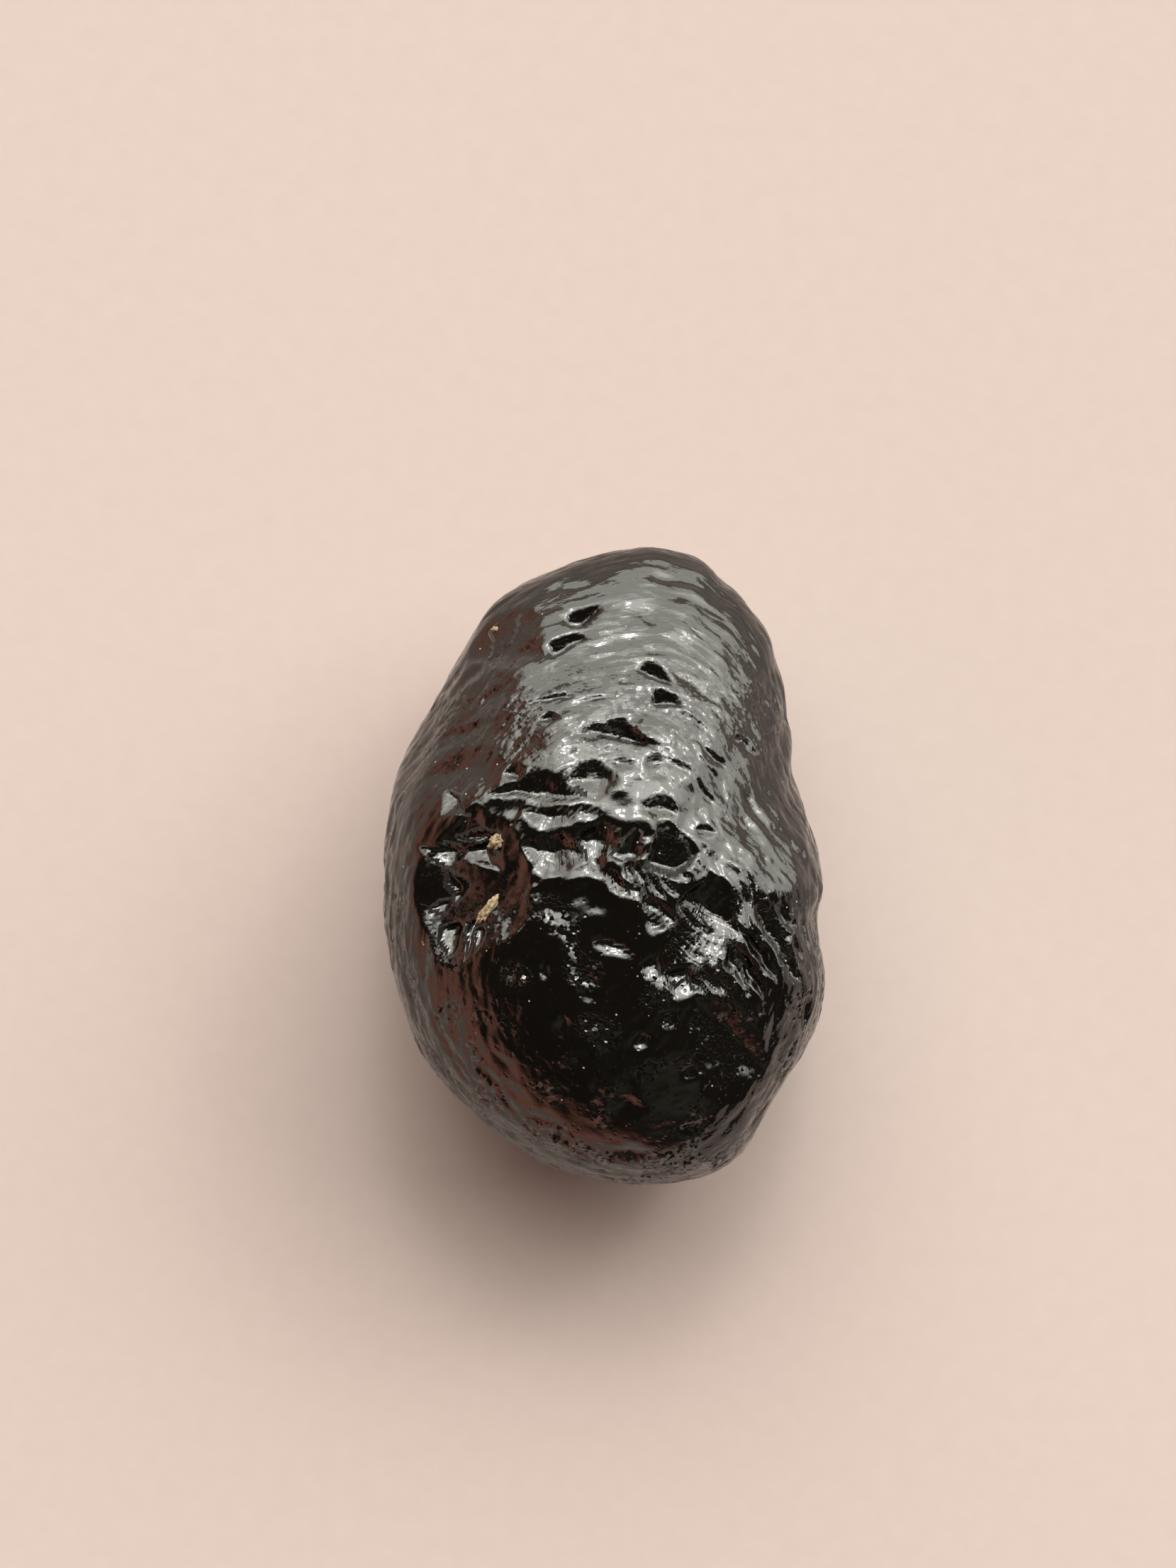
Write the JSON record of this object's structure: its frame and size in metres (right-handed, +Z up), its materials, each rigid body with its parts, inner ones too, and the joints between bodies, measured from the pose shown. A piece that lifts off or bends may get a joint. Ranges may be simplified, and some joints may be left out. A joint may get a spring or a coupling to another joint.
{
  "type": "billitonite tektite",
  "caption": "Ovoid lump of black natural glass with flow ridges, notches, flutes and one deep hollow, lying on a small worn flat.",
  "frame": {"origin": "under the middle of the stone, on the plane it rests on", "axes": "+Y towards the thin end, along the length; +X across; +Z up out of the crown"},
  "size_m": [0.0236, 0.034, 0.0203],
  "materials": {
    "tektite_glass": "glossy natural glass, etched in places"
  },
  "bodies": {
    "root": {"stone": "tektite_glass"}
  },
  "joints": []
}
